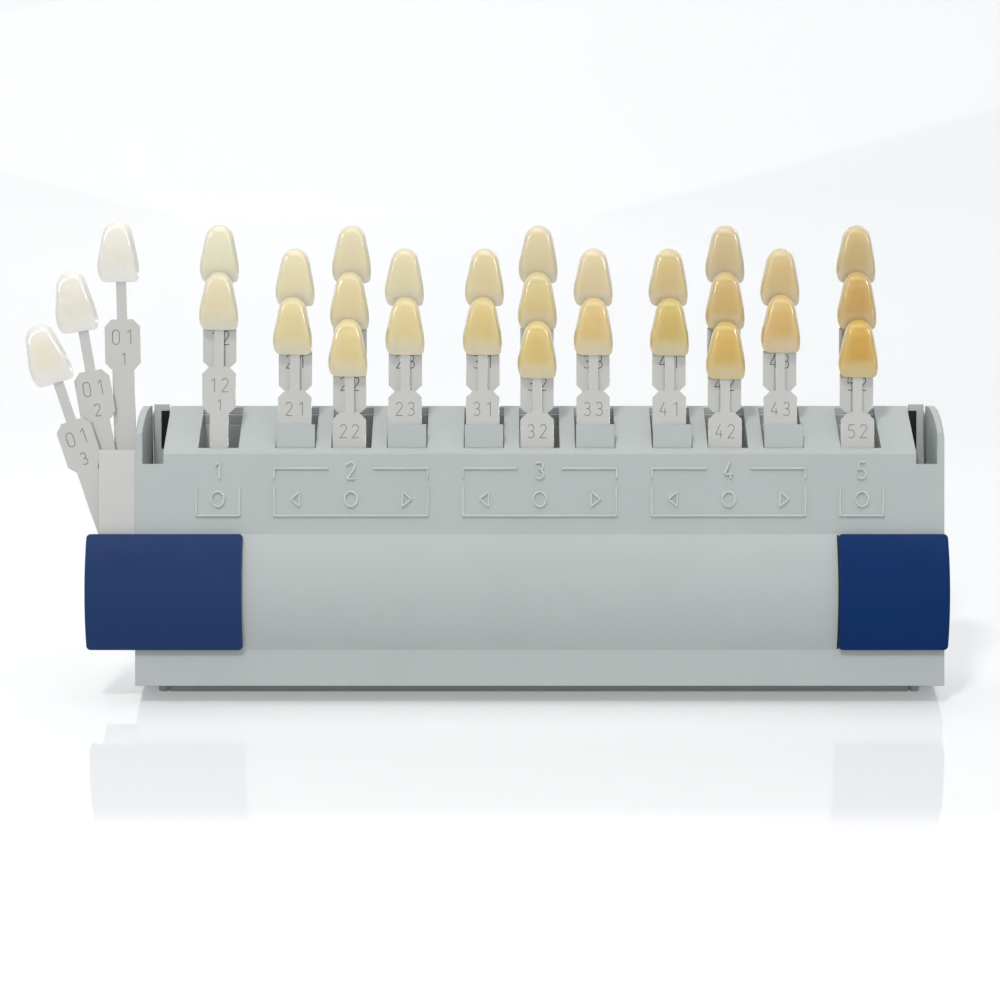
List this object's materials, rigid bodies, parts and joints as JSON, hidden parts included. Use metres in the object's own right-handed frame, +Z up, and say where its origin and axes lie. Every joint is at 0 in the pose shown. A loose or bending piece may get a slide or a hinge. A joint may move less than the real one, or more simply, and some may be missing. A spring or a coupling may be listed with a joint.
{
  "type": "dental shade guide",
  "caption": "Leaning desk stand with slots that hold groups of sample teeth on steel strips, and a fan of pale tabs that swings out at its left end.",
  "frame": {"origin": "on the table, in the middle of the base plate's underside", "axes": "+X along the stand to the right seen from the front, +Y towards its back, +Z up"},
  "size_m": [0.2223, 0.0331, 0.1135],
  "materials": {
    "grey_plastic": "satin moulded",
    "pale_grey_plastic": "satin moulded",
    "blue_plastic": "satin moulded",
    "steel_strip": "satin",
    "tooth_white": "glazed",
    "tooth_cream": "glazed",
    "tooth_tan": "glazed"
  },
  "bodies": {
    "stand": {"holder_body": "grey_plastic", "rear_cover": "grey_plastic", "base_plate": "grey_plastic", "carrier_1_mid": "grey_plastic", "strips_1_mid": "steel_strip", "tooth_1_mid_1": "tooth_cream", "tooth_1_mid_2": "tooth_cream", "carrier_2_mid": "grey_plastic", "strips_2_mid": "steel_strip", "tooth_2_mid_1": "tooth_cream", "tooth_2_mid_2": "tooth_cream", "tooth_2_mid_3": "tooth_cream", "carrier_2_left": "grey_plastic", "strips_2_left": "steel_strip", "tooth_2_left_1": "tooth_cream", "tooth_2_left_2": "tooth_cream", "carrier_2_right": "grey_plastic", "strips_2_right": "steel_strip", "tooth_2_right_1": "tooth_cream", "tooth_2_right_2": "tooth_cream", "carrier_3_mid": "grey_plastic", "strips_3_mid": "steel_strip", "tooth_3_mid_1": "tooth_cream", "tooth_3_mid_2": "tooth_cream", "tooth_3_mid_3": "tooth_cream", "carrier_3_left": "grey_plastic", "strips_3_left": "steel_strip", "tooth_3_left_1": "tooth_cream", "tooth_3_left_2": "tooth_cream", "carrier_3_right": "grey_plastic", "strips_3_right": "steel_strip", "tooth_3_right_1": "tooth_cream", "tooth_3_right_2": "tooth_cream", "carrier_4_mid": "grey_plastic", "strips_4_mid": "steel_strip", "tooth_4_mid_1": "tooth_tan", "tooth_4_mid_2": "tooth_tan", "tooth_4_mid_3": "tooth_tan", "carrier_4_left": "grey_plastic", "strips_4_left": "steel_strip", "tooth_4_left_1": "tooth_tan", "tooth_4_left_2": "tooth_tan", "carrier_4_right": "grey_plastic", "strips_4_right": "steel_strip", "tooth_4_right_1": "tooth_tan", "tooth_4_right_2": "tooth_tan", "carrier_5_mid": "grey_plastic", "strips_5_mid": "steel_strip", "tooth_5_mid_1": "tooth_tan", "tooth_5_mid_2": "tooth_tan", "tooth_5_mid_3": "tooth_tan", "fan_holder": "pale_grey_plastic", "left_cap": "blue_plastic", "right_cap": "blue_plastic"},
    "fan_tab_1": {"fan_strip_1": "steel_strip", "fan_tooth_1": "tooth_white"},
    "fan_tab_2": {"fan_strip_2": "steel_strip", "fan_tooth_2": "tooth_white"},
    "fan_tab_3": {"fan_strip_3": "steel_strip", "fan_tooth_3": "tooth_white"}
  },
  "joints": [
    {"name": "fan_tab_1_swing", "type": "hinge", "parent": "stand", "child": "fan_tab_1", "pos_m": [-0.09994, -0.00793, 0.02665], "axis": [0, -0.9781, 0.2079], "range_deg": [0, 78.5]},
    {"name": "fan_tab_2_swing", "type": "hinge", "parent": "stand", "child": "fan_tab_2", "pos_m": [-0.09994, -0.01047, 0.02719], "axis": [0, -0.9781, 0.2079], "range_deg": [-5.2, 70.1]},
    {"name": "fan_tab_3_swing", "type": "hinge", "parent": "stand", "child": "fan_tab_3", "pos_m": [-0.09994, -0.01301, 0.02773], "axis": [0, -0.9781, 0.2079], "range_deg": [-13.1, 61.4]}
  ]
}
